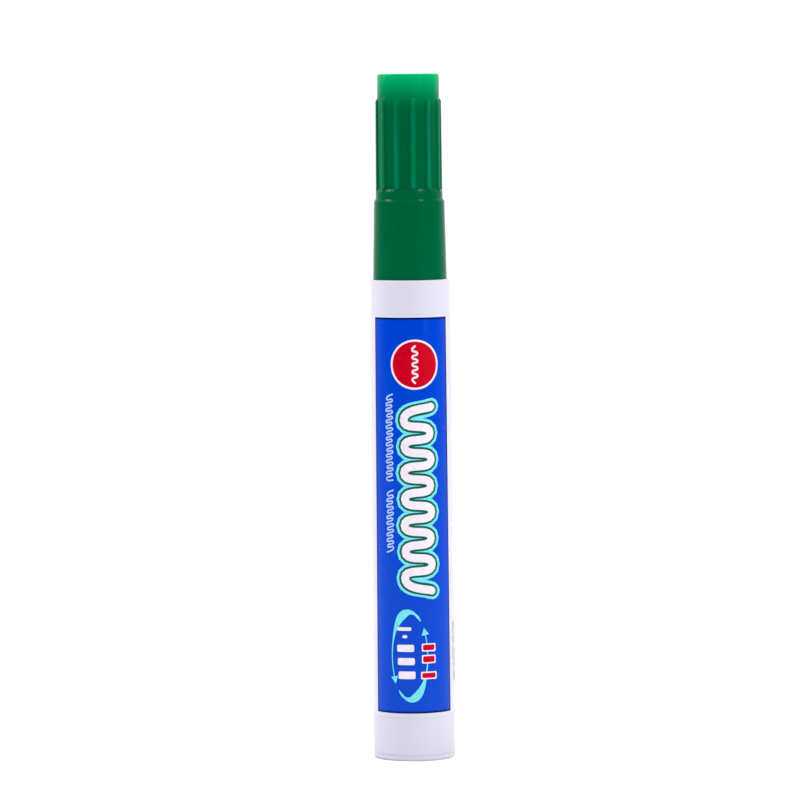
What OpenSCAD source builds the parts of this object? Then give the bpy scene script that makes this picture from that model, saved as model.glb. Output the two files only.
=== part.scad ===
// Whiteboard marker with a pull-off ribbed cap.
// The origin is the centre of the base, and +Z runs along the barrel to the cap's top.
// Sizes are in millimetres. Every piece is drawn where it sits with the cap pushed home.

/* [Barrel] */
// Length of the barrel tube
barrel_len = 93.2; // [70:0.1:130]
// Outer diameter of the barrel's tail
barrel_d = 16.08; // [15.6:0.02:20]
// How much narrower the barrel is at its front edge
barrel_draft = 0.6; // [0:0.1:1.2]
// Wall thickness of the barrel at its front edge
barrel_wall = 1.2; // [1:0.1:1.5]
// Height of the straight band at the tail, below the label
tail_band_h = 7.6; // [5:0.1:12]
// Rounding of the barrel's front edge
front_edge_r = 0.3; // [0.1:0.05:0.5]
// Number of lengthwise ribs inside the barrel
guide_rib_count = 6; // [3:1:10]
// Height of the ribs inside the barrel
guide_rib_h = 0.35; // [0.2:0.05:0.6]
// Width of the ribs inside the barrel
guide_rib_w = 0.8; // [0.4:0.1:1.5]

/* [Label] */
// Height of bare barrel left above the printed film sleeve
collar_h = 6.7; // [2:0.1:20]
// Thickness of the film
label_t = 0.08; // [0.05:0.01:0.2]

/* [Tail plug] */
// Height of the plug's flange, which is the marker's foot
foot_h = 1.1; // [0.9:0.1:3]
// How far the flange's rim stands in from the barrel's tail
foot_inset = 0.06; // [0:0.02:0.4]
// Rounding of the foot's lower edge
foot_edge_r = 0.4; // [0.2:0.1:0.8]
// Depth of the shallow dish under the foot
dish_depth = 0.3; // [0.1:0.05:0.5]
// Width of the flat ring that the marker stands on
foot_ring_w = 1.6; // [1:0.1:3]
// How far the plug's skirt reaches into the barrel
plug_len = 7; // [4:0.5:12]
// Wall thickness of the plug's skirt
plug_wall = 1.1; // [0.8:0.1:1.6]

/* [Nib holder] */
// Length of the plug that is pressed into the barrel's front
holder_plug_len = 7; // [5:0.5:10]
// Wall thickness of the holder
holder_wall = 1.0; // [0.8:0.1:1.4]
// Thickness of the flange sunk into the barrel's front edge
flange_t = 1.0; // [0.6:0.1:1.6]
// How far the flange stands out from the plug
flange_lip = 0.4; // [0.2:0.05:0.5]
// How far the neck stands in from the barrel's front edge
neck_step = 1.84; // [1.6:0.02:2.4]
// How far the neck stops below the cap's shoulder
neck_setback = 4.9; // [4:0.1:7]
// Height of each bead round the neck
bead_h = 0.06; // [0.04:0.01:0.1]
// Width of each bead
bead_w = 1; // [0.6:0.1:1.4]
// Height of the cone between the neck and the nozzle
shoulder_cone_h = 2.6; // [1.5:0.1:4]
// Diameter of the straight land that the inner cap seals on
land_d = 7.8; // [6.4:0.1:9.4]
// Height of that land
land_h = 3.8; // [3:0.1:6]
// Length of the nozzle beyond the land
nozzle_len = 7; // [4:0.5:10]
// Wall thickness at the nozzle's end
nozzle_wall = 0.75; // [0.5:0.05:1.2]

/* [Nib and filler] */
// Diameter of the nib
nib_d = 4.8; // [3:0.1:5.8]
// How far the nib stands out of the nozzle
nib_out = 3.8; // [3:0.1:6]
// How deep the nib's tail sits in the filler
nib_depth = 6; // [3:0.5:15]
// Thickness of the film round the filler
wrap_t = 0.1; // [0.05:0.01:0.2]
// Length of the bevel at the nib's tail
nib_tail_h = 1.2; // [0.5:0.1:2]
// Rounding of the nib's tip
nib_tip_r = 1.3; // [0.8:0.1:1.4]
// Slope of the nib's point, measured from its axis
nib_point_a = 30; // [25:1:45]

/* [Cap] */
// Height of the smooth skirt
skirt_h = 15.3; // [13:0.1:22]
// Wall thickness of the skirt at the cap's mouth
skirt_wall = 1.2; // [0.8:0.1:1.6]
// How much narrower the skirt is at its shoulder
skirt_draft = 0.65; // [0:0.05:0.8]
// Rounding of the skirt's shoulder
shoulder_r = 0.4; // [0.2:0.05:0.5]
// Height of the plain ring above the skirt
ring_h = 2.1; // [1:0.1:4]
// Number of grip ribs
rib_count = 12; // [6:1:16]
// Turn of the first grip rib from the front
rib_turn = 7.4; // [0:0.1:30]
// Height of the ribbed length
rib_h = 17.6; // [15:0.1:30]
// Radius of a grip rib's round back
rib_r = 0.65; // [0.4:0.05:0.7]
// How far a grip rib stands out at its foot
rib_out = 0.48; // [0.2:0.02:0.5]
// How much less it stands out at its top
rib_draft = 0.08; // [0:0.01:0.1]
// Height of the plain top above the ribs
crown_h = 4.8; // [3:0.1:10]
// Rounding of the crown's edge
crown_edge_r = 0.4; // [0.1:0.05:0.8]
// Wall thickness of the cap's ribbed part and its top
cap_wall = 1.11; // [0.9:0.01:1.6]

/* [Inner cap] */
// Wall thickness of the inner cap
inner_wall = 0.85; // [0.6:0.05:1.2]
// Thickness of the inner cap's flange
inner_flange_t = 0.8; // [0.5:0.1:1.2]
// Gap between the inner cap's flange and the holder's cone
inner_lift = 0.8; // [0.5:0.1:2]
// Free height above the nib inside the inner cap
nib_room = 6.2; // [5:0.1:8]
// How far the inner cap's sealing lip stands in
seal_lip = 0.15; // [0.1:0.05:0.3]

/* [Clearances] */
// Gap between pieces that are pressed together
press_gap = 0.02; // [0.01:0.01:0.05]
// Gap between the cap's bore and the neck's beads
cap_gap = 0.07; // [0.03:0.01:0.1]
// Gap between the inner cap's lip and the holder's land
seal_gap = 0.04; // [0.02:0.01:0.1]
// Gap between the nib and the nozzle's bore
nib_gap = 0.03; // [0.01:0.01:0.1]
// Gap between the filler's film and the barrel's ribs
filler_gap = 0.1; // [0.05:0.05:0.5]
// Gap left at each end of the filler
filler_end_gap = 0.3; // [0.1:0.1:1]

/* [Hidden] */
$fn = 96;
eps = 0.01;

// Heights on the barrel
barrel_z = foot_h;
label_z = barrel_z + tail_band_h;
front_z = barrel_z + barrel_len;
label_h = barrel_len - tail_band_h - collar_h;
flange_z = front_z - flange_t;
holder_z = front_z - holder_plug_len;

// Heights on the nib holder
neck_len = skirt_h - neck_setback;
neck_z = front_z + neck_len;
land_z = neck_z + shoulder_cone_h;
nozzle_z = land_z + land_h;
nozzle_end_z = nozzle_z + nozzle_len;
nib_tip_z = nozzle_end_z + nib_out;

// Heights on the cap
shoulder_z = front_z + skirt_h;
ring_top_z = shoulder_z + shoulder_r + ring_h;
crown_z = ring_top_z + rib_h;
cap_top_z = crown_z + crown_h;
inner_z = land_z + inner_lift;
step_z = inner_z + inner_flange_t;
inner_ceiling_z = nib_tip_z + nib_room;

// Radii of the barrel and of what fits in it
barrel_r = barrel_d / 2;
front_r = (barrel_d - barrel_draft) / 2;
bore_r = front_r - barrel_wall;
foot_r = barrel_r - foot_inset;
plug_r = bore_r - press_gap;
flange_r = plug_r + flange_lip;
wrap_r = bore_r - guide_rib_h - filler_gap;
core_r = wrap_r - wrap_t - press_gap;

// Radii of the nib, the nib holder and the inner cap
neck_r = front_r - neck_step;
land_r = land_d / 2;
nib_r = nib_d / 2;
nib_tail_r = nib_r / 2;
nib_bore_r = nib_r + nib_gap;
nozzle_end_r = nib_bore_r + nozzle_wall;
inner_bore_r = land_r + seal_gap + seal_lip;
inner_r = inner_bore_r + inner_wall;

// Radii of the cap
skirt_bore_r = neck_r + bead_h + cap_gap;
mouth_r = skirt_bore_r + skirt_wall;
shoulder_outer_r = mouth_r - skirt_draft / 2;
cap_bore_r = inner_r + press_gap;
crown_r = cap_bore_r + cap_wall;
ring_r = crown_r + rib_out;

// Filler length and the nib's rear end
filler_z = barrel_z + plug_len + filler_end_gap;
filler_end_z = holder_z - filler_end_gap;
nib_tail_z = filler_end_z - nib_depth;

PP_WHITE = [0.87, 0.86, 0.90];
FILM_WHITE = [0.97, 0.97, 0.98];
CAP_GREEN = [0.0, 0.42, 0.23];
LINER_WHITE = [0.90, 0.92, 0.90];
INK_GREEN = [0.05, 0.40, 0.24];

// Quarter disc in the corner between the +X and +Y axes
module quarter_disc(r) {
    intersection() {
        circle(r = r);
        square(r);
    }
}

// Solid post on the XY plane whose top edge is rounded
module round_top_post(r, h, edge) {
    rotate_extrude() {
        square([r - edge, h]);
        square([r, h - edge]);
        translate([r - edge, h - edge]) quarter_disc(edge);
    }
}

// Straight or conical tube between two heights
module tube(z, h, outer_r, inner_r) {
    translate([0, 0, z])
    difference() {
        cylinder(r = outer_r, h = h);
        translate([0, 0, -eps]) cylinder(r = inner_r, h = h + 2 * eps);
    }
}

// Radius of the barrel's outside at a height, above the straight band
function barrel_r_at(z) = barrel_r + (front_r - barrel_r) * (z - label_z) / (front_z - label_z);

// Ring-shaped swelling of half-round section round a post
module bead(z, r, h, w) {
    translate([0, 0, z])
    rotate_extrude()
    polygon([
        [r - h, -w / 2 - h], [r, -w / 2], [r + h, -w / 6],
        [r + h, w / 6], [r, w / 2], [r - h, w / 2 + h]
    ]);
}

// White moulded tube, open at both ends, with a sunk seat for the holder's flange
module barrel() {
    seat_r = flange_r + press_gap;
    color(PP_WHITE)
    difference() {
        union() {
            difference() {
                rotate_extrude() {
                    translate([0, barrel_z]) square([barrel_r, tail_band_h]);
                    polygon([
                        [0, label_z], [barrel_r, label_z],
                        [barrel_r_at(front_z - front_edge_r), front_z - front_edge_r],
                        [0, front_z - front_edge_r]
                    ]);
                    translate([0, front_z - front_edge_r]) square([front_r - front_edge_r, front_edge_r]);
                    translate([front_r - front_edge_r, front_z - front_edge_r]) quarter_disc(front_edge_r);
                }
                translate([0, 0, barrel_z - eps]) cylinder(r = bore_r, h = barrel_len + 2 * eps);
            }
            for (i = [0 : guide_rib_count - 1])
                rotate([0, 0, i * 360 / guide_rib_count])
                translate([bore_r - guide_rib_h, -guide_rib_w / 2, filler_z])
                    cube([guide_rib_h + barrel_wall / 2, guide_rib_w, filler_end_z - filler_z]);
        }
        translate([0, 0, flange_z]) cylinder(r = seat_r, h = flange_t + eps);
    }
}

// Thin printed film sleeve round the tapered part of the barrel
module printed_label() {
    r0 = barrel_r_at(label_z) + press_gap;
    r1 = barrel_r_at(label_z + label_h) + press_gap;
    color(FILM_WHITE)
    rotate_extrude()
    polygon([
        [r0, label_z], [r0 + label_t, label_z],
        [r1 + label_t, label_z + label_h], [r1, label_z + label_h]
    ]);
}

// Closing plug whose flange is the marker's foot
module tail_plug() {
    dish_r = foot_r - foot_edge_r - foot_ring_w;
    color(PP_WHITE)
    difference() {
        union() {
            translate([0, 0, foot_h]) mirror([0, 0, 1]) round_top_post(foot_r, foot_h, foot_edge_r);
            translate([0, 0, foot_h - eps]) round_top_post(plug_r, plug_len + eps, plug_wall / 2);
        }
        translate([0, 0, foot_h]) cylinder(r = plug_r - plug_wall, h = plug_len + eps);
        translate([0, 0, -eps]) cylinder(r1 = dish_r, r2 = dish_r - dish_depth, h = dish_depth + eps);
    }
}

// Front section: a plug in the barrel, a neck for the cap, and the nozzle
module nib_holder() {
    cavity_r = min(plug_r, neck_r) - holder_wall;
    color(PP_WHITE)
    difference() {
        union() {
            translate([0, 0, holder_z]) cylinder(r = plug_r, h = flange_z - holder_z);
            translate([0, 0, flange_z]) cylinder(r = flange_r, h = flange_t);
            translate([0, 0, front_z - eps]) cylinder(r = neck_r, h = neck_len + eps);
            for (share = [1, 3]) bead(front_z + neck_len * share / 4, neck_r, bead_h, bead_w);
            translate([0, 0, neck_z]) cylinder(r1 = neck_r, r2 = land_r, h = shoulder_cone_h);
            translate([0, 0, land_z - eps]) cylinder(r = land_r, h = land_h + eps);
            translate([0, 0, nozzle_z]) cylinder(r1 = land_r, r2 = nozzle_end_r, h = nozzle_len);
        }
        translate([0, 0, holder_z - eps])
            cylinder(r = cavity_r, h = neck_z - holder_wall - holder_z + eps);
        translate([0, 0, neck_z - holder_wall - eps])
            cylinder(r1 = cavity_r, r2 = nib_bore_r, h = shoulder_cone_h + eps);
        translate([0, 0, neck_z]) cylinder(r = nib_bore_r, h = nozzle_end_z - neck_z + eps);
    }
}

// Bullet-shaped fibre nib, whose bevelled tail sits in the filler
module nib() {
    dome_x = nib_tip_r * cos(nib_point_a);
    dome_z = nib_tip_z - nib_tip_r * (1 - sin(nib_point_a));
    point_z = dome_z - (nib_r - dome_x) / tan(nib_point_a);
    color(INK_GREEN)
    rotate_extrude() {
        polygon([
            [0, nib_tail_z], [nib_tail_r, nib_tail_z], [nib_r, nib_tail_z + nib_tail_h],
            [nib_r, point_z], [dome_x, dome_z], [0, dome_z]
        ]);
        translate([0, nib_tip_z - nib_tip_r]) quarter_disc(nib_tip_r);
    }
}

// Ink-soaked fibre rod with a socket for the nib's tail
module filler_core() {
    color(INK_GREEN)
    difference() {
        translate([0, 0, filler_z]) cylinder(r = core_r, h = filler_end_z - filler_z);
        translate([0, 0, nib_tail_z - press_gap])
            cylinder(r1 = nib_tail_r + press_gap, r2 = nib_r + press_gap, h = nib_tail_h + press_gap);
        translate([0, 0, nib_tail_z + nib_tail_h - eps]) cylinder(r = nib_r + press_gap, h = nib_depth);
    }
}

// Thin plastic film rolled round the fibre rod
module filler_wrap() {
    color(FILM_WHITE) tube(filler_z, filler_end_z - filler_z, wrap_r, wrap_r - wrap_t);
}

// Outline of the cap's outside without its ribs
module cap_outline() {
    crown_top = cap_top_z - ring_top_z;
    polygon([
        [0, front_z], [mouth_r, front_z], [shoulder_outer_r, shoulder_z], [0, shoulder_z]
    ]);
    translate([0, shoulder_z]) {
        square([shoulder_outer_r - shoulder_r, shoulder_r]);
        translate([shoulder_outer_r - shoulder_r, 0]) quarter_disc(shoulder_r);
        square([ring_r, ring_top_z - shoulder_z]);
    }
    translate([0, ring_top_z]) {
        difference() {
            square([ring_r, rib_out]);
            translate([ring_r, rib_out]) circle(r = rib_out);
        }
        square([crown_r - crown_edge_r, crown_top]);
        square([crown_r, crown_top - crown_edge_r]);
        translate([crown_r - crown_edge_r, crown_top - crown_edge_r]) quarter_disc(crown_edge_r);
    }
}

// One grip rib: a round bar with a round upper end, which leans in towards the crown
module grip_rib() {
    lean = asin(rib_draft / rib_h);
    sunk = ring_h / 2;
    bar_h = sunk + rib_h - rib_r;
    translate([ring_r - rib_r, 0, ring_top_z - sunk])
    rotate([0, -lean, 0])
    rotate_extrude($fn = 32) {
        square([rib_r, bar_h]);
        translate([0, bar_h]) quarter_disc(rib_r);
    }
}

// Green outer cap with a smooth skirt, a ribbed grip and a closed crown
module cap_shell() {
    color(CAP_GREEN)
    difference() {
        union() {
            rotate_extrude() cap_outline();
            for (i = [0 : rib_count - 1])
                rotate([0, 0, rib_turn - 90 + i * 360 / rib_count]) grip_rib();
        }
        translate([0, 0, front_z - eps]) cylinder(r = skirt_bore_r, h = step_z - front_z + eps);
        translate([0, 0, step_z - eps])
            round_top_post(cap_bore_r, cap_top_z - cap_wall - step_z + eps, crown_edge_r);
    }
}

// Inner cap: a cup that closes round the nozzle and keeps the nib wet
module cap_inner() {
    flange_edge_r = skirt_bore_r - press_gap;
    cup_h = inner_ceiling_z + inner_wall - inner_z;
    lip_h = 2 * inner_wall;
    color(LINER_WHITE)
    difference() {
        union() {
            translate([0, 0, inner_z]) cylinder(r = flange_edge_r, h = inner_flange_t);
            translate([0, 0, inner_z]) round_top_post(inner_r, cup_h, inner_wall);
        }
        translate([0, 0, inner_z - eps]) cylinder(r = inner_bore_r - seal_lip, h = lip_h + 2 * eps);
        translate([0, 0, inner_z + lip_h])
            round_top_post(inner_bore_r, inner_ceiling_z - inner_z - lip_h, inner_wall / 2);
    }
}

barrel();
printed_label();
tail_plug();
nib_holder();
nib();
filler_core();
filler_wrap();
cap_shell();
cap_inner();
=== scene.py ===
"""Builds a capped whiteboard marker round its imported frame: moulded pieces, printed film and stage."""

import math

import bpy
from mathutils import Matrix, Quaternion, Vector


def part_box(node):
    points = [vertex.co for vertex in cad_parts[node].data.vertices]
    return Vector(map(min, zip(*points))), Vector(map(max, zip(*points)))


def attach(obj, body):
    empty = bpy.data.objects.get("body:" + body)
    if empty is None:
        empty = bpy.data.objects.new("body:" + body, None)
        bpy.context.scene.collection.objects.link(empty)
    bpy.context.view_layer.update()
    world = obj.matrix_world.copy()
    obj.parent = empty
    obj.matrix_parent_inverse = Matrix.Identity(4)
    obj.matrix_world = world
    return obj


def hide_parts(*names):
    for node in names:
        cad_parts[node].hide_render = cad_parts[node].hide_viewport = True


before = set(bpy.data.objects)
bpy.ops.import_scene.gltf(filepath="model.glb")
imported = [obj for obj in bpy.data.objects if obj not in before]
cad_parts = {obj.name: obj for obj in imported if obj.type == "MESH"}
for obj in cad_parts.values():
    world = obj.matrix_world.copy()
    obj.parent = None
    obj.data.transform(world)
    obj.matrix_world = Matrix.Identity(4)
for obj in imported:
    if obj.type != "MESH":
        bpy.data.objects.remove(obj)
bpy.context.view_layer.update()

bl_info = {
    "name": "Whiteboard marker",
    "version": (1, 0, 0),
    "blender": (4, 5, 0),
    "location": "View3D > Sidebar > Marker",
    "description": "Builds a whiteboard marker with a ribbed cap round its packed frame",
    "category": "Object",
}

MM = 0.001
TURN_STEPS = 144  # faces round a turned piece
BARREL_STEPS = 96  # 3.75 degrees each, so that two of them are one guide rib wide
SMOOTH_ANGLE = math.radians(35)
WELD = 0.0005 * MM
INK_WELD = 0.0001 * MM
CRISP, FINE, SOFT = 0.05 * MM, 0.1 * MM, 0.3 * MM  # the usual roundings of a moulded edge
FILM_GRAIN, FILM_GRAIN_DEPTH = 1.6 * MM, 0.004 * MM  # the film's slight waviness
FILM_SHINE = {"IOR": 1.5, "Specular IOR Level": 0.13}


# ---------------------------------------------------------------- values

def span(node):
    """Gives a CAD node's outer radius and its lowest and highest heights."""
    low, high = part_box(node)
    return high[0], low[2], high[2]


FOOT_R, FOOT_Z, PLUG_TOP_Z = span("tail_plug")
BARREL_R, BARREL_Z, FRONT_Z = span("barrel")
FILM_R, FILM_Z, FILM_TOP_Z = span("printed_label")
FLANGE_R, HOLDER_Z, NOZZLE_END_Z = span("nib_holder")
NIB_R, NIB_TAIL_Z, NIB_TIP_Z = span("nib")
_, FILLER_Z, FILLER_END_Z = span("filler_core")
MOUTH_R, MOUTH_Z, CAP_TOP_Z = span("cap_shell")
LINER_FLANGE_R, LINER_Z, LINER_TOP_Z = span("cap_inner")


def linear(code):
    """Turns an sRGB hex colour into linear red, green, blue and alpha."""
    parts = [int(code[i:i + 2], 16) / 255 for i in (1, 3, 5)]
    return tuple(c / 12.92 if c <= 0.04045 else ((c + 0.055) / 1.055) ** 2.4 for c in parts) + (1.0,)


def length(value_mm, name, description):
    """A size of the marker, given in millimetres and kept in metres."""
    return bpy.props.FloatProperty(
        name=name, description=description, default=value_mm * MM, min=0.0, unit="LENGTH", precision=5)


def colour(code, name, description):
    """A colour of the marker, given as an sRGB hex value and kept linear."""
    return bpy.props.FloatVectorProperty(
        name=name, description=description, default=linear(code), size=4, min=0.0, max=1.0, subtype="COLOR")


class BarrelSizes(bpy.types.PropertyGroup):
    front_radius: length(7.74, "Front radius", "Radius of the barrel at its front edge")
    bore_radius: length(6.54, "Bore radius", "Radius of the barrel's bore")
    seat_radius: length(6.94, "Seat radius", "Radius of the sunk seat for the nib holder's flange")
    seat_depth: length(1.0, "Seat depth", "Depth of that seat")
    front_edge: length(0.3, "Front edge", "Rounding of the barrel's front edge")
    tail_edge: length(0.1, "Tail edge", "Rounding of the barrel's lower edge")
    guide_rib_height: length(0.35, "Guide rib height", "Height of the ribs inside the barrel")
    film_thickness: length(0.08, "Film thickness", "Thickness of the printed film")
    overlap_width: length(3.0, "Overlap width", "Width of the film's glued overlap at the back")
    foot_edge: length(0.4, "Foot edge", "Rounding of the foot's lower edge")
    dish_depth: length(0.3, "Dish depth", "Depth of the dish under the foot")
    dish_radius: length(5.98, "Dish radius", "Radius of that dish at the foot's face")
    plug_radius: length(6.52, "Plug radius", "Radius of the plugs pressed into the barrel")
    plug_wall: length(1.1, "Plug wall", "Wall thickness of the tail plug's skirt")


class HolderSizes(bpy.types.PropertyGroup):
    flange_height: length(1.0, "Flange height", "Height of the holder's flange")
    cavity_radius: length(4.9, "Cavity radius", "Radius of the holder's cavity")
    wall: length(1.0, "Wall", "Wall thickness of the holder")
    neck_radius: length(5.9, "Neck radius", "Radius of the neck that carries the cap")
    neck_height: length(10.4, "Neck height", "Height of the neck")
    bead_height: length(0.06, "Bead height", "Height of each bead round the neck")
    bead_width: length(1.0, "Bead width", "Width of each bead")
    cone_height: length(2.6, "Cone height", "Height of the cone above the neck")
    land_radius: length(3.9, "Land radius", "Radius of the land that the inner cap seals on")
    land_height: length(3.8, "Land height", "Height of that land")
    nozzle_radius: length(3.18, "Nozzle radius", "Radius of the nozzle's end")
    nib_bore_radius: length(2.43, "Nib bore radius", "Radius of the bore that holds the nib")
    nib_tail_radius: length(1.2, "Nib tail radius", "Radius of the nib's rear end")
    nib_tail_height: length(1.2, "Nib tail height", "Length of the bevel at the nib's rear end")
    nib_tip_radius: length(1.3, "Nib tip radius", "Rounding of the nib's tip")


class CapSizes(bpy.types.PropertyGroup):
    shoulder_radius: length(6.905, "Shoulder radius", "Radius of the skirt just below its shoulder")
    skirt_height: length(15.3, "Skirt height", "Height of the smooth skirt")
    shoulder_round: length(0.4, "Shoulder rounding", "Rounding of the skirt's shoulder")
    ring_top: length(17.8, "Ring height", "Height of the plain ring's top above the cap's mouth")
    rib_length: length(17.6, "Rib length", "Length of the grip ribs")
    rib_foot_width: length(1.5, "Rib foot width", "Width of a grip rib at its foot")
    rib_back_width: length(0.64, "Rib back width", "Width of a grip rib's back before it is rounded")
    rib_height: length(0.48, "Rib height", "How far a grip rib stands out")
    rib_lean: length(0.08, "Rib lean", "How much less it stands out at its upper end")
    rib_slope: length(0.4, "Rib end slope", "How far the rib's upper end slopes back")
    ledge_slope: length(0.6, "Ledge slope", "How far the ring's upper ledge slopes down")
    rib_round: length(0.22, "Rib rounding", "Rounding along the ribs and along the ring's ledge")
    crown_radius: length(6.07, "Crown radius", "Radius of the plain crown and of the valley floors")
    crown_edge: length(0.4, "Crown edge", "Rounding of the crown's edge")
    skirt_bore_radius: length(6.03, "Skirt bore radius", "Radius of the cap's bore round the neck")
    step_height: length(14.6, "Step height", "Height of the step in the bore above the cap's mouth")
    cup_bore_radius: length(4.96, "Cup bore radius", "Radius of the cap's bore round the inner cap")
    top_wall: length(1.11, "Top wall", "Thickness of the cap's top")
    gate_radius: length(0.8, "Gate radius", "Radius of the gate mark on the cap's top")
    liner_radius: length(4.94, "Inner cap radius", "Outer radius of the inner cap's cup")
    liner_bore_radius: length(4.09, "Inner cap bore", "Bore radius of the inner cap")
    liner_lip: length(0.15, "Sealing lip", "How far the inner cap's sealing lip stands in")
    liner_wall: length(0.85, "Inner cap wall", "Wall thickness of the inner cap")
    liner_flange: length(0.8, "Inner cap flange", "Thickness of the inner cap's flange")
    rib_count: bpy.props.IntProperty(
        name="Rib count", description="Number of grip ribs round the cap", default=12, min=6, max=16)
    rib_turn: bpy.props.FloatProperty(
        name="Rib turn", description="Turn of the first grip rib from the front", default=math.radians(7.4),
        subtype="ANGLE")


class PrintSizes(bpy.types.PropertyGroup):
    panel_half_angle: bpy.props.FloatProperty(
        name="Panel half angle", description="How far the coloured panel reaches round from the front",
        default=math.radians(61.5), subtype="ANGLE")
    panel_bottom_margin: length(0.7, "Bottom margin", "White film left below the panel")
    panel_top_margin: length(0.5, "Top margin", "White film left above the panel")
    ink: length(0.012, "Ink", "Half of an ink layer's thickness")
    badge_radius: length(4.9, "Badge radius", "Radius of the round badge with its rim")
    badge_rim: length(0.4, "Badge rim", "Width of the badge's rim")
    badge_height: length(77.9, "Badge height", "Height of the badge's centre")
    badge_offset: length(0.8, "Badge offset", "How far the badge's centre is to the right of the front")
    squiggle_half_width: length(0.84, "Squiggle half width", "Half width of the white squiggle")
    squiggle_outline: length(0.44, "Squiggle outline", "Width of the dark line round the squiggle")
    squiggle_halo: length(0.55, "Squiggle halo", "Width of the light band outside the dark line")
    squiggle_top: length(69.6, "Squiggle top", "Height of the squiggle's upper end")
    squiggle_pitch: length(5.15, "Squiggle pitch", "Height of one wave of the squiggle")
    squiggle_reach: length(2.95, "Squiggle reach", "How far the squiggle swings to each side")
    squiggle_waves: bpy.props.IntProperty(
        name="Squiggle waves", description="Number of waves of the squiggle", default=7, min=1, max=9)


class MarkerColours(bpy.types.PropertyGroup):
    cap_mouth: colour("#006540", "Cap mouth", "Green of the cap's skirt")
    cap_grip: colour("#00643d", "Cap grip", "Green of the cap's ribbed part")
    # Painted highlight: a lighter green laid along the ribs' backs, where light catches them.
    rib_painted_highlight: colour("#08805a", "Cap rib", "Green of the ribs' backs, which are thin enough to glow")
    # Painted glow: a lighter green towards the crown's top stands in for light passing through its thin wall.
    crown_painted_glow: colour("#00b26f", "Cap crown", "Green of the thin crown, which lets light through")
    barrel: colour("#dddbe7", "Barrel", "White of the barrel and the plugs")
    film: colour("#dfdfe8", "Film", "White of the film")
    panel_top: colour("#0c46cc", "Panel top", "Blue of the panel's upper end")
    panel_bottom: colour("#1c4ecb", "Panel bottom", "Blue of the panel's lower end")
    panel_edge: colour("#04124c", "Panel edge", "Darker blue along the panel's edges")
    badge: colour("#cd1228", "Badge", "Red of the badge")
    pale: colour("#f6ecf6", "Pale ink", "Lilac white of the badge's rim and the squiggle")
    outline: colour("#1f6154", "Outline", "Dark green of the squiggle's outline")
    halo: colour("#7ae6ec", "Halo", "Light blue of the squiggle's halo and the sweeps")
    fine: colour("#b4cdf6", "Fine waves", "Pale blue of the fine waves")
    grey: colour("#8e8e9a", "Grey ink", "Grey of the fine lines at the side")
    ink: colour("#0b6b41", "Ink", "Green of the ink in the nib and the filler")
    film_clear: colour("#dfe8e2", "Filler film", "Clear white of the film round the filler")
    liner: colour("#eef1ec", "Inner cap", "Natural white of the inner cap")
    floor: colour("#f9f9f9", "Floor", "Pale grey white of the floor")
    tent_front: colour("#a4a3ab", "Tent front", "Grey of the light tent on the camera's side")
    tent_back: colour("#ffffff", "Tent back", "White of the light tent behind the marker")


GROUPS = {
    "marker_barrel": BarrelSizes,
    "marker_holder": HolderSizes,
    "marker_cap": CapSizes,
    "marker_print": PrintSizes,
    "marker_colours": MarkerColours,
}


# ---------------------------------------------------------------- modelling helpers

def start_clean():
    """Leaves edit mode and selects nothing, so that no operator reaches an earlier piece."""
    if bpy.context.mode != "OBJECT":
        bpy.ops.object.mode_set(mode="OBJECT")
    bpy.ops.object.select_all(action="DESELECT")


def name_new(name):
    """Names the object that an operator has just added, sets its place into its mesh and gives it back."""
    piece = bpy.context.object
    piece.name = name
    piece.data.name = name
    bpy.ops.object.transform_apply(location=True, rotation=True, scale=True)
    return piece


def pick(piece, kind, test):
    """In edit mode, selects only the vertices, edges or faces whose place passes a test."""
    bpy.ops.mesh.select_mode(type=kind)
    bpy.ops.mesh.select_all(action="DESELECT")
    bpy.ops.object.mode_set(mode="OBJECT")
    mesh = piece.data
    found = 0
    for part in {"VERT": mesh.vertices, "EDGE": mesh.edges, "FACE": mesh.polygons}[kind]:
        if kind == "VERT":
            part.select = test(part.co)
        elif kind == "EDGE":
            part.select = all(test(mesh.vertices[i].co) for i in part.vertices)
        else:
            part.select = test(part.center, part.normal)
        found += part.select
    bpy.ops.object.mode_set(mode="EDIT")
    if not found:
        raise RuntimeError(f"{piece.name}: no {kind.lower()} was found to work on")


def round_corners(profile, steps=5):
    """Gives a profile's points, with an arc in place of each corner that has a radius as its third value."""
    points = []
    for i, (radius, height, *rounding) in enumerate(profile):
        corner = Vector((radius, height))
        if not rounding:
            points.append(corner)
            continue
        before = (Vector(profile[i - 1][:2]) - corner).normalized()
        after = (Vector(profile[(i + 1) % len(profile)][:2]) - corner).normalized()
        half = before.angle(after) / 2
        centre = corner + (before + after).normalized() * rounding[0] / math.sin(half)
        arms = [corner + way * rounding[0] / math.tan(half) - centre for way in (before, after)]
        sweep = math.pi - 2 * half
        for k in range(steps + 1):
            share = sweep * k / steps
            arm = arms[0] * math.sin(sweep - share) + arms[1] * math.sin(share)
            points.append(centre + arm / math.sin(sweep))
    return points


def pull_ring(start, points):
    """Extrudes the selected ring of edges from one radius and height to the next, along a profile."""
    radius, height = start
    for next_radius, next_height in points:
        bpy.ops.mesh.extrude_region_move(TRANSFORM_OT_translate={"value": (0, 0, next_height - height)})
        if abs(next_radius - radius) > WELD / 10:
            factor = next_radius / radius
            bpy.ops.transform.resize(value=(factor, factor, 1), center_override=(0, 0, 0))
        radius, height = next_radius, next_height


def weld(reach=WELD):
    """In edit mode, merges doubled vertices and then turns all faces outwards."""
    bpy.ops.mesh.select_all(action="SELECT")
    bpy.ops.mesh.remove_doubles(threshold=reach)
    bpy.ops.mesh.normals_make_consistent(inside=False)


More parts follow.
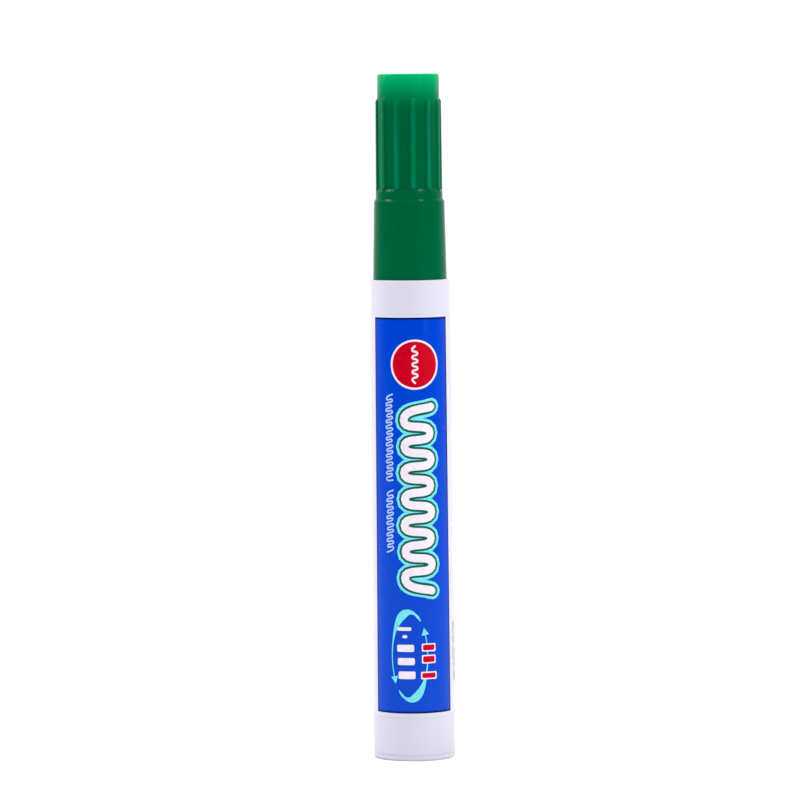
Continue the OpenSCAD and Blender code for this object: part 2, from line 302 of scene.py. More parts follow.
def turn(name, profile, steps=TURN_STEPS, solid_start=False):
    """Turns a profile about the axis: a closed one into a ring, or one that ends on the axis into a solid.

    A solid starts from a filled disc at the profile's first point.
    """
    points = round_corners(profile)
    start_clean()
    radius, height = points[0]
    fill = "TRIFAN" if solid_start else "NOTHING"
    bpy.ops.mesh.primitive_circle_add(vertices=steps, radius=radius, location=(0, 0, height), fill_type=fill)
    piece = name_new(name)
    bpy.ops.object.mode_set(mode="EDIT")
    bpy.ops.mesh.select_mode(type="EDGE")
    bpy.ops.mesh.select_all(action="SELECT")
    if solid_start:
        bpy.ops.mesh.region_to_loop()
        pull_ring(points[0], points[1:])
    else:
        pull_ring(points[0], points[1:] + points[:1])
    weld()
    bpy.ops.object.mode_set(mode="OBJECT")
    return piece


def apply_modifier(piece, kind, **settings):
    """Adds a modifier to the active piece, sets it and applies it."""
    bpy.ops.object.modifier_add(type=kind)
    modifier = piece.modifiers[-1]
    for key, value in settings.items():
        setattr(modifier, key, value)
    bpy.ops.object.modifier_apply(modifier=modifier.name)


def finish_piece(piece, body, material, replaced=None):
    """Smooths a piece, gives it its material and ties it to the frame, and stops if its mesh is open."""
    start_clean()
    piece.select_set(True)
    bpy.context.view_layer.objects.active = piece
    uses = {}
    for face in piece.data.polygons:
        for key in face.edge_keys:
            uses[key] = uses.get(key, 0) + 1
    if any(count != 2 for count in uses.values()):
        raise RuntimeError(f"{piece.name}: the mesh isn't closed")
    bpy.ops.object.shade_smooth_by_angle(angle=SMOOTH_ANGLE)
    piece.data.materials.clear()
    piece.data.materials.append(material)
    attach(piece, body)
    if replaced:
        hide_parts(replaced)


# ---------------------------------------------------------------- materials

# The Mix node's sockets for two colours and their mixture.
FIRST, SECOND, MIXED = 6, 7, 2


def add_node(tree, kind, inputs=(), output=0, **options):
    """Adds a shader node with its options and gives one of its outputs.

    The inputs come in the node's own order, or under their names or numbers; a socket among them is linked.
    """
    node = tree.nodes.new("ShaderNode" + kind)
    for key, value in options.items():
        setattr(node, key, value)
    for key, value in inputs.items() if isinstance(inputs, dict) else enumerate(inputs):
        if isinstance(value, bpy.types.NodeSocket):
            tree.links.new(value, node.inputs[key])
        else:
            node.inputs[key].default_value = value
    return node.outputs[output] if node.outputs else None


def new_material(name):
    """Starts a node material and gives it with its node tree and its Object coordinates."""
    if bpy.data.materials.get(name):
        raise RuntimeError(f"the material {name} was made twice")
    material = bpy.data.materials.new(name)
    material.use_nodes = True
    material.node_tree.nodes.clear()
    return material, material.node_tree, add_node(material.node_tree, "TexCoord", output="Object")


def end_material(tree, shader_inputs):
    """Closes a node tree with its shader and its output."""
    add_node(tree, "OutputMaterial", {"Surface": add_node(tree, "BsdfPrincipled", shader_inputs)})


def tone(code, factor):
    """Gives a linear colour made lighter or darker by a factor."""
    return tuple(min(1.0, c * factor) for c in code[:3]) + (1.0,)


def grain(tree, place, size, depth):
    """Gives the bump of an even grain, with grains as wide and as deep as given."""
    lumps = add_node(tree, "TexNoise", {"Vector": place, "Scale": 1 / size})
    return add_node(tree, "Bump", {"Height": lumps, "Strength": 1.0, "Distance": depth})


def moulded_plastic(name, shade, patch, grain_size, grain_depth, gloss, shader_inputs):
    """Moulded plastic: soft cloudy tone from the melt's flow, a grain from the mould, and an uneven gloss."""
    material, tree, place = new_material(name)
    flow = add_node(tree, "Mapping", {"Vector": place, "Scale": (1.0, 1.0, 0.35)})
    clouds = add_node(tree, "TexNoise", {"Vector": flow, "Scale": 1 / patch, "Detail": 3.0})
    clouds = add_node(tree, "MapRange", (clouds, 0.3, 0.7))
    if callable(shade):
        base = shade(tree, place)
        darker = add_node(tree, "Mix", {0: 1.0, FIRST: base, SECOND: (0.9, 0.92, 0.9, 1.0)}, MIXED,
                          data_type="RGBA", blend_type="MULTIPLY")
    else:
        base, darker = shade, tone(shade, 0.955)
    wear = add_node(tree, "TexNoise", {"Vector": place, "Scale": 1 / (patch * 0.4)})
    end_material(tree, {
        "Base Color": add_node(
            tree, "Mix", {0: clouds, FIRST: darker, SECOND: base}, MIXED, data_type="RGBA"),
        "Roughness": add_node(tree, "MapRange", (wear, 0.3, 0.7, gloss - 0.04, gloss + 0.04)),
        "Normal": grain(tree, place, grain_size, grain_depth),
        **shader_inputs})
    return material


def barrel_plastic(colours):
    """Injection-moulded polypropylene, white: satin, slightly lilac, with a hardly visible grain."""
    name = "polypropylene_white_moulded_satin"
    return bpy.data.materials.get(name) or moulded_plastic(
        name, tuple(colours.barrel), patch=14 * MM, grain_size=0.25 * MM, grain_depth=0.004 * MM, gloss=0.42,
        shader_inputs={
            "IOR": 1.49, "Specular IOR Level": 0.25, "Subsurface Weight": 0.08,
            "Subsurface Radius": (1.2, 1.1, 1.0), "Subsurface Scale": MM})


def cap_plastic(colours, cap):
    """Injection-moulded polypropylene, dyed green: semi-gloss, with a painted glow towards the crown's top for
    light through its thin wall, and painted highlights along the ribs' backs.
    """
    grip = MOUTH_Z + cap.ring_top
    crown = grip + cap.rib_length
    rib_foot, rib_back = cap.crown_radius + 0.3 * MM, cap.crown_radius + 0.47 * MM
    glow_start, glow_end = crown - 2.5 * MM, CAP_TOP_Z - 0.5 * MM

    def shade(tree, place):
        height = add_node(tree, "SeparateXYZ", (place,), "Z")
        flat = add_node(tree, "VectorMath", (place, (1, 1, 0)), operation="MULTIPLY")
        radius = add_node(tree, "VectorMath", (flat,), "Value", operation="LENGTH")
        proud = add_node(tree, "MapRange", (radius, rib_foot, rib_back))
        above = add_node(tree, "MapRange", (height, grip, grip + 0.4 * MM))
        # Painted highlight: above the ring, the ribs' backs are mixed towards a lighter green.
        on_rib = add_node(tree, "Math", (proud, above), operation="MULTIPLY")
        rise = add_node(tree, "MapRange", (height, MOUTH_Z, crown))
        # Painted glow: towards the crown's top the green grows lighter, in place of light through the thin wall.
        glow = add_node(tree, "MapRange", (height, glow_start, glow_end))
        glow = add_node(tree, "Math", (glow, 1.6), operation="POWER")
        base = tuple(colours.cap_mouth)
        for share, code in ((rise, colours.cap_grip), (on_rib, colours.rib_painted_highlight), (glow, colours.crown_painted_glow)):
            base = add_node(tree, "Mix", {0: share, FIRST: base, SECOND: tuple(code)}, MIXED, data_type="RGBA")
        return base

    return moulded_plastic(
        "polypropylene_green_moulded_gloss", shade, patch=9 * MM, grain_size=0.3 * MM, grain_depth=0.002 * MM,
        gloss=0.2, shader_inputs={
            "IOR": 1.49, "Specular IOR Level": 0.08, "Subsurface Weight": 0.06,
            "Subsurface Radius": (0.2, 1.2, 0.6), "Subsurface Scale": MM})


def film_material(colours, sizes, overlap_width):
    """White stretched polypropylene film, gravure printed and glossy: a blue panel with denser edges."""
    material, tree, place = new_material("polypropylene_film_gravure_printed")
    x, y, z = add_node(tree, "SeparateXYZ", (place,)).node.outputs
    bottom = FILM_Z + sizes.panel_bottom_margin
    top = FILM_TOP_Z - sizes.panel_top_margin

    # How far a point lies inside the panel: along the film to its sides, and up or down to its ends.
    front = add_node(tree, "Math", (y, -1.0), operation="MULTIPLY")
    angle = add_node(tree, "Math", (x, front), operation="ARCTAN2")
    away = add_node(tree, "Math", (angle,), operation="ABSOLUTE")
    side = add_node(tree, "Math", (sizes.panel_half_angle, away), operation="SUBTRACT")
    inside = add_node(tree, "Math", (side, FILM_R), operation="MULTIPLY")
    for ends in ((z, bottom), (top, z)):
        rest = add_node(tree, "Math", ends, operation="SUBTRACT")
        inside = add_node(tree, "Math", (inside, rest), operation="MINIMUM")

    # The gravure cells are 0.1 mm apart; they are drawn three times as coarse, to show at all.
    cells = add_node(tree, "TexVoronoi", {"Vector": place, "Scale": 1 / (0.3 * MM)}, "Distance")
    clouds = add_node(tree, "TexNoise", {"Vector": place, "Scale": 1 / (10 * MM)})
    blue = tuple(colours.panel_top)
    # Each row gives a value, its two limits, the shares of the colour there if not 0 and 1, and the colour.
    for limits, code in (
            ((z, top, bottom), tuple(colours.panel_bottom)),
            ((cells, 0.2, 0.7, 0.0, 0.35), tuple(colours.panel_top)),
            ((clouds, 0.35, 0.7, 0.0, 0.3), tone(colours.panel_bottom, 1.08)),
            ((inside, 0.25 * MM, 0.6 * MM, 0.9, 0.0), tuple(colours.panel_edge))):
        share = add_node(tree, "MapRange", limits)
        blue = add_node(tree, "Mix", {0: share, FIRST: blue, SECOND: code}, MIXED, data_type="RGBA")

    # Two layers lie over each other at the back, so less shows through them and they look whiter.
    from_seam = add_node(tree, "Math", (x,), operation="ABSOLUTE")
    half = overlap_width / 2
    near = add_node(tree, "MapRange", (from_seam, half, half + 0.1 * MM, 1.0, 0.0))
    behind = add_node(tree, "MapRange", (y, 0.0, MM))
    overlap = add_node(tree, "Math", (near, behind), operation="MULTIPLY")
    clouds = add_node(tree, "TexNoise", {"Vector": place, "Scale": 1 / (6 * MM)})
    clouds = add_node(tree, "MapRange", (clouds, 0.35, 0.65))
    printed = add_node(tree, "MapRange", (inside, 0.0, 0.05 * MM))
    base = tuple(colours.film)
    for share, code in (
            (clouds, tone(colours.film, 0.96)), (overlap, tone(colours.film, 1.1)), (printed, blue)):
        base = add_node(tree, "Mix", {0: share, FIRST: base, SECOND: code}, MIXED, data_type="RGBA")

    gloss = add_node(tree, "TexNoise", {"Vector": place, "Scale": 1 / (3 * MM)})
    end_material(tree, {
        "Base Color": base,
        "Roughness": add_node(tree, "MapRange", (gloss, 0.3, 0.7, 0.2, 0.28)),
        "Normal": grain(tree, place, FILM_GRAIN, FILM_GRAIN_DEPTH),
        **FILM_SHINE})
    return material


def ink_material(name, code):
    """Gravure ink on film: thin, even and glossy, with a slight change of density from place to place."""
    name = "gravure_ink_" + name
    if name in bpy.data.materials:
        return bpy.data.materials[name]
    material, tree, place = new_material(name)
    thin = add_node(tree, "TexNoise", {"Vector": place, "Scale": 1 / (1.2 * MM), "Detail": 3.0})
    thin = add_node(tree, "MapRange", (thin, 0.35, 0.65))
    light, full = tone(code, 0.93), tone(code, 1.03)
    gloss = add_node(tree, "TexNoise", {"Vector": place, "Scale": 1 / (0.6 * MM)})
    end_material(tree, {
        "Base Color": add_node(tree, "Mix", {0: thin, FIRST: light, SECOND: full}, MIXED, data_type="RGBA"),
        "Roughness": add_node(tree, "MapRange", (gloss, 0.3, 0.7, 0.29, 0.39)),
        "Normal": grain(tree, place, FILM_GRAIN, FILM_GRAIN_DEPTH),
        **FILM_SHINE})
    return material


def fibre_material(name, code, across, along, depth):
    """Pressed or bundled polyester fibre soaked with ink: matt, with streaks that run along the axis."""
    material, tree, place = new_material(name)
    strands = add_node(tree, "Mapping", {"Vector": place, "Scale": (1 / across, 1 / across, 1 / along)})
    streaks = add_node(tree, "TexNoise", {"Vector": strands, "Scale": 1.0, "Detail": 4.0})
    share = add_node(tree, "MapRange", (streaks, 0.35, 0.65))
    wet, dry = tone(code, 0.55), tone(code, 1.2)
    end_material(tree, {
        "Base Color": add_node(tree, "Mix", {0: share, FIRST: wet, SECOND: dry}, MIXED, data_type="RGBA"),
        "Roughness": add_node(tree, "MapRange", (streaks, 0.3, 0.7, 0.7, 0.9)),
        "Normal": add_node(tree, "Bump", {"Height": streaks, "Strength": 1.0, "Distance": depth}),
        "Sheen Weight": 0.2, "IOR": 1.45})
    return material


# ---------------------------------------------------------------- white pieces

class MARKER_OT_barrel(bpy.types.Operator):
    """Turn the white barrel and raise the guide ribs in its bore"""
    bl_idname = "marker.barrel"
    bl_label = "Barrel"

    def execute(self, context):
        sizes = context.scene.marker_barrel
        seat_z = FRONT_Z - sizes.seat_depth
        piece = turn("barrel_tube", [
            (sizes.bore_radius, BARREL_Z, CRISP),
            (BARREL_R, BARREL_Z, sizes.tail_edge),
            (BARREL_R, FILM_Z),
            (sizes.front_radius, FRONT_Z, sizes.front_edge),
            (sizes.seat_radius, FRONT_Z, CRISP),
            (sizes.seat_radius, seat_z),
            (sizes.bore_radius, seat_z),
            (sizes.bore_radius, FILLER_END_Z),
            (sizes.bore_radius, FILLER_Z),
        ], steps=BARREL_STEPS)
        bpy.ops.object.mode_set(mode="EDIT")
        step = math.tau / BARREL_STEPS
        rib_count = 6

        def on_rib(centre, normal):
            angle = math.atan2(centre.y, centre.x) % (math.tau / rib_count)
            near = min(angle, math.tau / rib_count - angle) < step
            return near and FILLER_Z < centre.z < FILLER_END_Z and centre.xy.length < sizes.bore_radius + WELD

        pick(piece, "FACE", on_rib)
        bpy.ops.mesh.extrude_region_move(TRANSFORM_OT_translate={"value": (0, 0, 0)})
        factor = 1 - sizes.guide_rib_height / sizes.bore_radius
        bpy.ops.transform.resize(value=(factor, factor, 1), center_override=(0, 0, 0))
        bpy.ops.object.mode_set(mode="OBJECT")
        material = barrel_plastic(context.scene.marker_colours)
        finish_piece(piece, "root", material, "barrel")
        return {"FINISHED"}


class MARKER_OT_tail_plug(bpy.types.Operator):
    """Turn the tail plug with its rounded foot, the dish under it and its gate mark"""
    bl_idname = "marker.tail_plug"
    bl_label = "Tail plug"

    def execute(self, context):
        sizes = context.scene.marker_barrel
        skirt_bore = sizes.plug_radius - sizes.plug_wall
        gate = 0.9 * MM
        piece = turn("foot_plug", [
            (gate * 0.5, sizes.dish_depth - 0.08 * MM),
            (gate, sizes.dish_depth - 0.08 * MM, 0.04 * MM),
            (gate, sizes.dish_depth),
            (sizes.dish_radius - sizes.dish_depth, sizes.dish_depth, 0.15 * MM),
            (sizes.dish_radius, FOOT_Z, FINE),
            (FOOT_R, FOOT_Z, sizes.foot_edge),
            (FOOT_R, BARREL_Z, 0.06 * MM),
            (sizes.plug_radius, BARREL_Z),
            (sizes.plug_radius, PLUG_TOP_Z, 0.4 * MM),
            (skirt_bore, PLUG_TOP_Z, FINE),
            (skirt_bore, BARREL_Z, SOFT),
            (0.0, BARREL_Z),
        ], solid_start=True)
        material = barrel_plastic(context.scene.marker_colours)
        finish_piece(piece, "root", material, "tail_plug")
        return {"FINISHED"}


class MARKER_OT_nib_holder(bpy.types.Operator):
    """Turn the nib holder: its plug, the neck with two beads, the cone, the land and the nozzle"""
    bl_idname = "marker.nib_holder"
    bl_label = "Nib holder"

    def execute(self, context):
        sizes = context.scene.marker_holder
        plug_radius = context.scene.marker_barrel.plug_radius
        flange_z = FRONT_Z - sizes.flange_height
        neck_z = FRONT_Z + sizes.neck_height
        land_z = neck_z + sizes.cone_height
        cone_z = land_z + sizes.land_height
        beads = []
        for share in (0.25, 0.75):
            middle = FRONT_Z + sizes.neck_height * share
            crest = sizes.neck_radius + sizes.bead_height
            beads += [
                (sizes.neck_radius, middle - sizes.bead_width / 2),
                (crest, middle - sizes.bead_width / 6, 0.2 * MM),
                (crest, middle + sizes.bead_width / 6, 0.2 * MM),
                (sizes.neck_radius, middle + sizes.bead_width / 2)]
        piece = turn("neck_and_nozzle", [
            (sizes.cavity_radius, HOLDER_Z, FINE),
            (plug_radius, HOLDER_Z, SOFT),
            (plug_radius, flange_z),
            (FLANGE_R, flange_z, CRISP),
            (FLANGE_R, FRONT_Z, FINE),
            (sizes.neck_radius, FRONT_Z, FINE),
            *beads,
            (sizes.neck_radius, neck_z, SOFT),
            (sizes.land_radius, land_z, SOFT),
            (sizes.land_radius, cone_z, 1.0 * MM),
            (sizes.nozzle_radius, NOZZLE_END_Z, 0.25 * MM),
            (sizes.nib_bore_radius, NOZZLE_END_Z, FINE),
            (sizes.nib_bore_radius, neck_z - sizes.wall + sizes.cone_height),
            (sizes.cavity_radius, neck_z - sizes.wall),
        ])
        material = barrel_plastic(context.scene.marker_colours)
        finish_piece(piece, "root", material, "nib_holder")
        return {"FINISHED"}


class MARKER_OT_nib(bpy.types.Operator):
    """Turn the bullet nib, with its bevelled rear end and its rounded tip"""
    bl_idname = "marker.nib"
    bl_label = "Nib"

    def execute(self, context):
        sizes = context.scene.marker_holder
        slope = math.radians(30)
        tip_r = sizes.nib_tip_radius
        dome_r = tip_r * math.cos(slope)
        dome_z = NIB_TIP_Z - tip_r * (1 - math.sin(slope))
        point_z = dome_z - (NIB_R - dome_r) / math.tan(slope)
        steps = 6
        dome = []
        for k in range(1, steps + 1):
            angle = slope + (math.pi / 2 - slope) * k / steps
            radius = tip_r * math.cos(angle) if k < steps else 0.0
            dome.append((radius, NIB_TIP_Z - tip_r * (1 - math.sin(angle))))
        piece = turn("bullet_nib", [
            (sizes.nib_tail_radius, NIB_TAIL_Z),
            (NIB_R, NIB_TAIL_Z + sizes.nib_tail_height, SOFT),
            (NIB_R, point_z, 0.8 * MM),
            (dome_r, dome_z),
            *dome,
        ], steps=96, solid_start=True)
        ink = tuple(context.scene.marker_colours.ink)
        # Acrylic fibre, pressed and ground to a bullet: matt, with fine streaks along it.
        material = fibre_material(
            "acrylic_fibre_pressed_inked", ink, across=0.12 * MM, along=1.6 * MM, depth=0.02 * MM)
        finish_piece(piece, "root", material, "nib")
        return {"FINISHED"}


class MARKER_OT_filler(bpy.types.Operator):
    """Give the filler rod and the film round it their materials"""
    bl_idname = "marker.filler"
    bl_label = "Filler"

    def execute(self, context):
        colours = context.scene.marker_colours
        ink = tuple(colours.ink)
        rod = fibre_material(
            "polyester_fibre_bundled_inked", ink, across=0.2 * MM, along=5 * MM, depth=0.03 * MM)
        # Clear film rolled round the rod: glossy, with the ink showing through in streaks.
        film, tree, place = new_material("polyester_film_rolled_clear")
        wet = add_node(tree, "TexNoise", {"Vector": place, "Scale": 1 / (2.5 * MM), "Detail": 3.0})
        wet = add_node(tree, "MapRange", (wet, 0.35, 0.65))
        end_material(tree, {
            "Base Color": add_node(
                tree, "Mix", {0: wet, FIRST: tuple(colours.film_clear), SECOND: tone(ink, 1.6)}, MIXED,
                data_type="RGBA"),
            "Roughness": add_node(tree, "MapRange", (wet, 0.0, 1.0, 0.15, 0.3)),
            "Normal": grain(tree, place, 1.0 * MM, 0.01 * MM),
            "IOR": 1.57})
        for node, material in (("filler_core", rod), ("filler_wrap", film)):
            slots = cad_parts[node].material_slots
            if not slots:
                raise RuntimeError(f"{node} has no material slot")
            for slot in slots:
                slot.material = material
        return {"FINISHED"}


# ---------------------------------------------------------------- cap

class MARKER_OT_cap(bpy.types.Operator):
    """Model the green cap from one flat stretch of its ribbed grip, bent round and drawn out at both ends"""
    bl_idname = "marker.cap"
    bl_label = "Cap"

    def rib_stretch(self, cap):
        """Models one rib with its valley and the ring below it, flat in the XZ plane, with -Y outwards."""
        ring_top = MOUTH_Z + cap.ring_top
        rib_end = ring_top + cap.rib_length
        low, high = ring_top - 1.0 * MM, rib_end + 0.8 * MM
        pitch = math.tau * cap.crown_radius / cap.rib_count
        half_foot = cap.rib_foot_width / 2
        start_clean()
        bpy.ops.mesh.primitive_plane_add(
            size=1, location=(0, 0, (low + high) / 2), rotation=(math.pi / 2, 0, 0))
        bpy.context.object.scale = (pitch, high - low, 1)
        piece = name_new("cap_green")
        bpy.ops.object.mode_set(mode="EDIT")
        valley = pitch / 2 - half_foot
        cuts = [half_foot, half_foot * 0.34, half_foot + valley * 0.36, half_foot + valley * 0.68]
        cuts = [side * cut for cut in cuts for side in (-1, 1)]
        for way, places in (((1, 0, 0), cuts), ((0, 0, 1), [ring_top, rib_end])):
            for place in places:
                bpy.ops.mesh.select_all(action="SELECT")
                bpy.ops.mesh.bisect(plane_co=tuple(place * w for w in way), plane_no=way)
        pick(piece, "FACE", lambda centre, normal: centre.z < ring_top or (
            abs(centre.x) < half_foot and centre.z < rib_end))
        bpy.ops.mesh.extrude_region_move(TRANSFORM_OT_translate={"value": (0, -cap.rib_height, 0)})
        pick(piece, "FACE", lambda centre, normal: abs(centre.y + cap.rib_height / 2) < WELD and (
            abs(abs(centre.x) - pitch / 2) < WELD or abs(centre.z - low) < WELD))
        bpy.ops.mesh.delete(type="FACE")
        pick(piece, "VERT", lambda place: (
            place.y < -cap.rib_height / 2 and abs(place.x) < half_foot + WELD and place.z > ring_top - WELD))
        factor = cap.rib_back_width / cap.rib_foot_width
        bpy.ops.transform.resize(value=(factor, 1, 1), center_override=(0, 0, 0))
        pick(piece, "VERT", lambda place: place.y < -cap.rib_height / 2 and place.z > rib_end - WELD)
        bpy.ops.transform.translate(value=(0, cap.rib_lean, -cap.rib_slope))
        pick(piece, "VERT", lambda place: place.y < -cap.rib_height / 2 and abs(place.z - ring_top) < WELD)
        bpy.ops.transform.translate(value=(0, 0, -cap.ledge_slope))
        bpy.ops.object.mode_set(mode="OBJECT")
        return piece, pitch, low, high

    def execute(self, context):
        cap = context.scene.marker_cap
        piece, pitch, low, high = self.rib_stretch(cap)
        apply_modifier(
            piece, "ARRAY", count=cap.rib_count, use_relative_offset=False, use_constant_offset=True,
            constant_offset_displace=(pitch, 0, 0), use_merge_vertices=True, merge_threshold=WELD)
        bpy.ops.object.mode_set(mode="EDIT")
        bpy.ops.mesh.select_mode(type="EDGE")
        bpy.ops.mesh.select_all(action="DESELECT")
        bpy.ops.mesh.edges_select_sharp(sharpness=math.radians(25))
        bpy.ops.mesh.bevel(offset=cap.rib_round, segments=4, affect="EDGES")
        bpy.ops.object.mode_set(mode="OBJECT")
        middle = pitch * cap.rib_count / 2
        bpy.ops.transform.translate(value=(cap.crown_radius * cap.rib_turn - middle, 0, 0))
        bpy.ops.object.transform_apply(location=True, rotation=False, scale=False)
        apply_modifier(piece, "SIMPLE_DEFORM", deform_method="BEND", deform_axis="Z", angle=math.tau)
        bpy.ops.transform.translate(value=(0, -cap.crown_radius, 0))
        bpy.ops.object.transform_apply(location=True, rotation=False, scale=False)

        bpy.ops.object.mode_set(mode="EDIT")
        bpy.ops.mesh.select_all(action="SELECT")
        bpy.ops.mesh.remove_doubles(threshold=0.005 * MM)
        ring_radius = cap.crown_radius + cap.rib_height
        shoulder_z = MOUTH_Z + cap.skirt_height
        shoulder_top = shoulder_z + cap.shoulder_round
        step_z = MOUTH_Z + cap.step_height
        ceiling_z = CAP_TOP_Z - cap.top_wall
        pick(piece, "EDGE", lambda place: abs(place.z - low) < WELD)
        pull_ring((ring_radius, low), round_corners([
            (ring_radius, low - FINE),
            (ring_radius, shoulder_top + FINE, FINE),
            (cap.shoulder_radius, shoulder_z, cap.shoulder_round),
            (MOUTH_R, MOUTH_Z, 0.15 * MM),
            (cap.skirt_bore_radius, MOUTH_Z, SOFT),
            (cap.skirt_bore_radius, step_z, CRISP),
            (cap.cup_bore_radius, step_z, CRISP),
            (cap.cup_bore_radius, ceiling_z, cap.crown_edge),
            (0.0, ceiling_z),
        ]))
        pick(piece, "EDGE", lambda place: abs(place.z - high) < WELD)
        gate_z = CAP_TOP_Z - 0.12 * MM
        pull_ring((cap.crown_radius, high), round_corners([
            (cap.crown_radius, high + FINE),
            (cap.crown_radius, CAP_TOP_Z, cap.crown_edge),
            (cap.gate_radius, CAP_TOP_Z, 0.06 * MM),
            (cap.gate_radius * 0.9, gate_z),
            (cap.gate_radius * 0.35, gate_z),
            (cap.gate_radius * 0.3, gate_z + 0.06 * MM),
            (0.0, gate_z + 0.06 * MM),
        ]))
        weld()
        bpy.ops.object.mode_set(mode="OBJECT")
        finish_piece(piece, "cap", cap_plastic(context.scene.marker_colours, cap), "cap_shell")
        return {"FINISHED"}


class MARKER_OT_inner_cap(bpy.types.Operator):
    """Turn the inner cap: its flange, the sealing lip and the cup over the nib"""
    bl_idname = "marker.inner_cap"
    bl_label = "Inner cap"

    def execute(self, context):
        cap = context.scene.marker_cap
        lip_r = cap.liner_bore_radius - cap.liner_lip
        lip_z = LINER_Z + 2 * cap.liner_wall
        ceiling_z = LINER_TOP_Z - cap.liner_wall
        tube = 0.5 * MM
        piece = turn("sealing_cup", [
            (lip_r, LINER_Z, 0.2 * MM),
            (LINER_FLANGE_R, LINER_Z, FINE),
            (LINER_FLANGE_R, LINER_Z + cap.liner_flange, FINE),
            (cap.liner_radius, LINER_Z + cap.liner_flange),
            (cap.liner_radius, LINER_TOP_Z, cap.liner_wall),
            (tube, LINER_TOP_Z),
            (tube, ceiling_z),
            (cap.liner_bore_radius, ceiling_z, cap.liner_wall / 2),
            (cap.liner_bore_radius, lip_z),
            (lip_r, lip_z - FINE, FINE),
        ])
        bpy.ops.object.mode_set(mode="EDIT")
        # The turned cup is still open on its axis: the short inner tube goes, and both discs are filled.
        pick(piece, "FACE", lambda centre, normal: centre.xy.length < tube + 0.02 * MM)
        bpy.ops.mesh.delete(type="FACE")
        for height in (LINER_TOP_Z, ceiling_z):
            pick(piece, "EDGE", lambda place: place.xy.length < tube + 0.02 * MM and abs(place.z - height) < WELD)
            bpy.ops.mesh.edge_face_add()
            bpy.ops.mesh.poke()
        weld()
        bpy.ops.object.mode_set(mode="OBJECT")
        # Low-density polyethylene, natural: milky, waxy and a little see-through.
        liner = moulded_plastic(
            "polyethylene_natural_moulded", tuple(context.scene.marker_colours.liner), patch=6 * MM,
            grain_size=0.3 * MM, grain_depth=0.004 * MM, gloss=0.38, shader_inputs={
                "IOR": 1.51, "Subsurface Weight": 0.25, "Subsurface Radius": (1.0, 1.0, 0.9),
                "Subsurface Scale": MM})
        finish_piece(piece, "cap", liner, "cap_inner")
        return {"FINISHED"}


# ---------------------------------------------------------------- film and print

def film_radius(height):
    """Gives the film's outer radius at a height."""
    sizes = bpy.context.scene.marker_barrel
    share = (height - FILM_Z) / (FRONT_Z - FILM_Z)
    return FILM_R + (sizes.front_radius - BARREL_R) * share


def wrap_print(piece, layer, slices=True):
    """Leans a flat print with the film's cone and bends it round the film.

    The layer is how far the print's middle lies outside the film, in halves of an ink layer's thickness. Wide
    faces are first cut into strips, so that they can bend.
    """
    ink = bpy.context.scene.marker_print.ink
    start_clean()
    piece.select_set(True)
    bpy.context.view_layer.objects.active = piece
    if slices:
        strip = 0.3 * MM
        first = min(v.co.x for v in piece.data.vertices)
        last = max(v.co.x for v in piece.data.vertices)
        bpy.ops.object.mode_set(mode="EDIT")
        for k in range(1, int((last - first) / strip) + 1):
            bpy.ops.mesh.select_all(action="SELECT")
            bpy.ops.mesh.bisect(plane_co=(first + k * strip, 0, 0), plane_no=(1, 0, 0))
        bpy.ops.object.mode_set(mode="OBJECT")
    heights = [v.co.z for v in piece.data.vertices]
    middle = (min(heights) + max(heights)) / 2
    radius = film_radius(middle) + layer * ink
    slope = math.atan((film_radius(middle + MM) - film_radius(middle)) / MM)
    # With no window, rotate turns the other way about the axis, so this leans the upper end inwards.
    bpy.ops.transform.rotate(value=-slope, orient_axis="X", center_override=(0, 0, middle))
    bpy.ops.object.transform_apply(location=True, rotation=True, scale=False)
    across = [v.co.x for v in piece.data.vertices]
    apply_modifier(piece, "SIMPLE_DEFORM", deform_method="BEND", deform_axis="Z",
                   angle=(max(across) - min(across)) / radius)
    bpy.ops.transform.translate(value=(0, -radius, 0))
    bpy.ops.object.transform_apply(location=True, rotation=False, scale=False)
    low = min(v.co.xy.length - film_radius(v.co.z) for v in piece.data.vertices)
    if low < -ink:
        raise RuntimeError(f"{piece.name}: the print sinks {low / MM:.3f} mm into the film")


def print_piece(piece, layer, material, slices=True):
    """Wraps a flat print round the film, gives it its ink and ties it to the frame."""
    wrap_print(piece, layer, slices)
    bpy.ops.object.mode_set(mode="EDIT")
    weld(INK_WELD)
    bpy.ops.object.mode_set(mode="OBJECT")
    finish_piece(piece, "root", material)


def flat_disc(name, across, height, radius):
    """A flat disc in the XZ plane."""
    ink = bpy.context.scene.marker_print.ink
    start_clean()
    bpy.ops.mesh.primitive_cylinder_add(
        vertices=96, radius=radius, depth=2 * ink, location=(across, 0, height), rotation=(math.pi / 2, 0, 0))
    return name_new(name)


